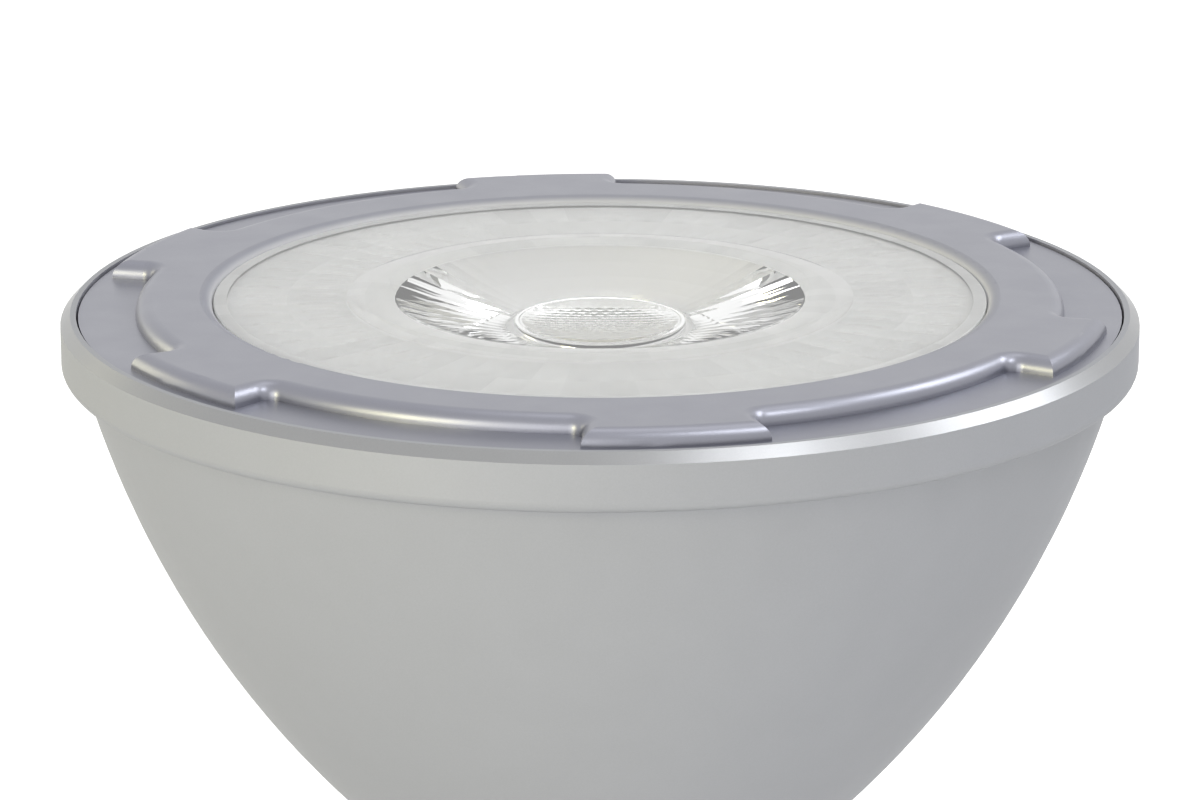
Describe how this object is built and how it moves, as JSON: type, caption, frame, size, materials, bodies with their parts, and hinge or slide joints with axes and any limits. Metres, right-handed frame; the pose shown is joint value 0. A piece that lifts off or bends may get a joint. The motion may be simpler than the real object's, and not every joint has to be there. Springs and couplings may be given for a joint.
{
  "type": "reflector lamp bulb",
  "caption": "Reflector lamp bulb: a cast bowl with a rim band, a stepped front bezel, a milky lens plate with a clear faceted collimator in its middle, and a screw base under a plastic collar.",
  "frame": {"origin": "centre of the tip contact's lower face, the lamp's lowest point", "axes": "+Z along the lamp's axis, from the tip contact to the lens, the way the light leaves; -Y towards the viewer of the picture"},
  "size_m": [0.121, 0.121, 0.132],
  "materials": {
    "bowl_paint": "satin",
    "bezel_paint": "satin",
    "clear_lens": "polished",
    "silicone": "matte",
    "bare_aluminium": "satin",
    "thermal_pad": "matte",
    "array_board": "satin",
    "phosphor": "matte",
    "holder_white": "matte",
    "steel": "satin",
    "base_white": "matte",
    "circuit_board": "satin",
    "can_sleeve": "gloss",
    "film_case": "gloss",
    "ferrite": "matte",
    "winding_tape": "satin",
    "shrink_sleeve": "matte",
    "varistor_blue": "gloss",
    "fuse_green": "gloss",
    "package_black": "matte",
    "wire_red": "satin",
    "wire_black": "satin",
    "wire_white": "satin",
    "shell_nickel": "satin",
    "insulator_black": "gloss",
    "tip_solder": "satin"
  },
  "bodies": {
    "root": {"housing": "bowl_paint", "front_bezel": "bezel_paint", "lens": "clear_lens", "lens_cup": "holder_white", "lens_gasket": "silicone", "heat_spreader": "bare_aluminium", "spreader_screws": "steel", "thermal_pad": "thermal_pad", "array_board": "array_board", "phosphor_disc": "phosphor", "array_holder": "holder_white", "holder_screws": "steel", "base_body": "base_white", "driver_board": "circuit_board", "transformer_core": "ferrite", "transformer_winding": "winding_tape", "output_capacitor": "can_sleeve", "input_capacitor": "can_sleeve", "film_capacitor": "film_case", "choke": "shrink_sleeve", "varistor": "varistor_blue", "fuse_resistor": "fuse_green", "bridge_rectifier": "package_black", "power_switch": "package_black", "control_chip": "package_black", "led_wire_positive": "wire_red", "led_wire_negative": "wire_black", "live_wire": "wire_black", "neutral_wire": "wire_white", "screw_shell": "shell_nickel", "tip_insulator": "insulator_black", "tip_contact": "tip_solder"}
  },
  "joints": []
}
